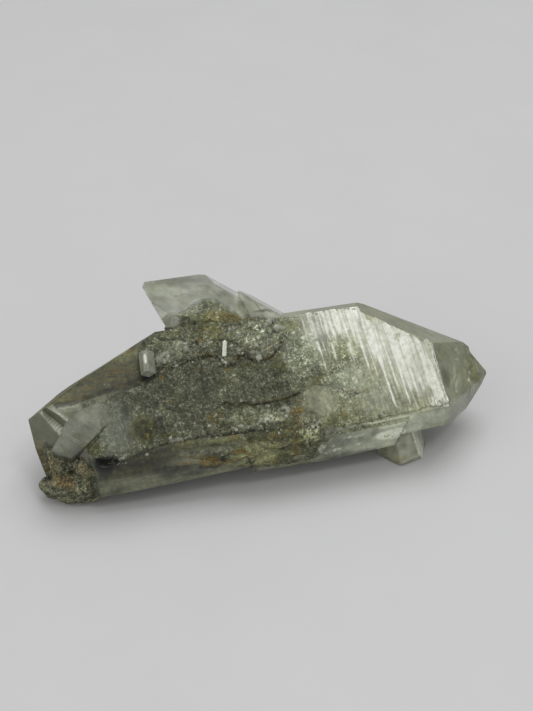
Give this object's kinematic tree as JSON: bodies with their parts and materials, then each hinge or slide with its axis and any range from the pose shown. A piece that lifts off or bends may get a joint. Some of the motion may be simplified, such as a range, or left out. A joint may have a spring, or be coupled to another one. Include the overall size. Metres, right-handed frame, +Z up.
{
  "type": "chlorite quartz crystal cluster",
  "caption": "Loose quartz crystal cluster: a large prism lying on its side with a chlorite crust, a clear leaning crystal, a short crystal under the tip and a matrix knot at the broken end.",
  "frame": {"origin": "middle of the underside, on the plane that the cluster rests on", "axes": "+X along the length towards the main crystal's tip, -Y towards the crusted front face, +Z up"},
  "size_m": [0.0986, 0.0476, 0.0362],
  "materials": {
    "chlorite_quartz": "vitreous crystal faces, partly covered by matt to sparkling chlorite crust",
    "clear_quartz": "clear, pale grey-green, glossy",
    "matrix": "rough, earthy green and ochre"
  },
  "bodies": {
    "root": {"crystal_cluster": "chlorite_quartz"}
  },
  "joints": []
}
